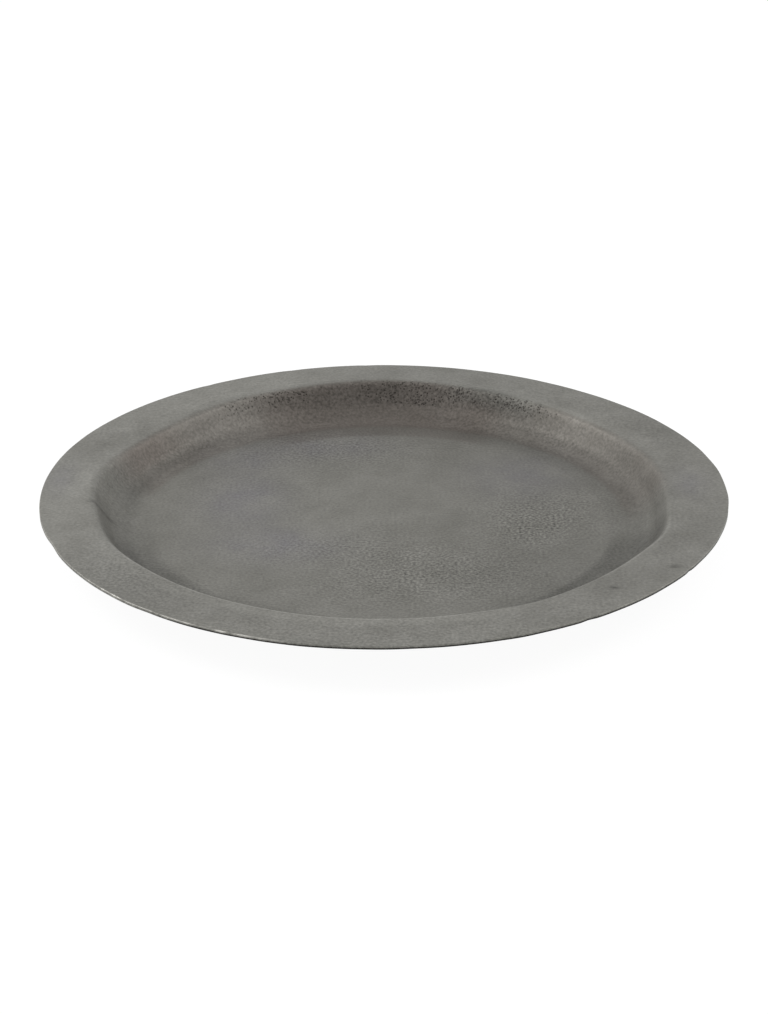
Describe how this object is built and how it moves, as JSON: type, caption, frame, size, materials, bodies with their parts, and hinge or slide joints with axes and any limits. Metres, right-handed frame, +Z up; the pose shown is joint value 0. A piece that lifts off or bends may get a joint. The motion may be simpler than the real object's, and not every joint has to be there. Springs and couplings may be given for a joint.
{
  "type": "round serving tray",
  "caption": "Round cast-metal serving tray: a wide flat rim with a thin lip around a shallow well with a sloping wall, standing on stick-on felt pads.",
  "frame": {"origin": "on the table top, under the tray's centre, at the height of the undersides of the felt pads", "axes": "+Z up along the tray's axis of revolution; +X to the right and +Y away from the viewer of the picture; the pads lie on the diagonals between X and Y"},
  "size_m": [0.5, 0.5, 0.0315],
  "materials": {
    "cast_metal": "raw sand-cast skin with a grey nickel finish",
    "felt": "matte",
    "adhesive_film": "matte"
  },
  "bodies": {
    "root": {"cast_tray": "cast_metal", "felt_pad_1": "felt", "felt_pad_2": "felt", "felt_pad_3": "felt", "felt_pad_4": "felt", "adhesive_film_1": "adhesive_film", "adhesive_film_2": "adhesive_film", "adhesive_film_3": "adhesive_film", "adhesive_film_4": "adhesive_film"}
  },
  "joints": []
}
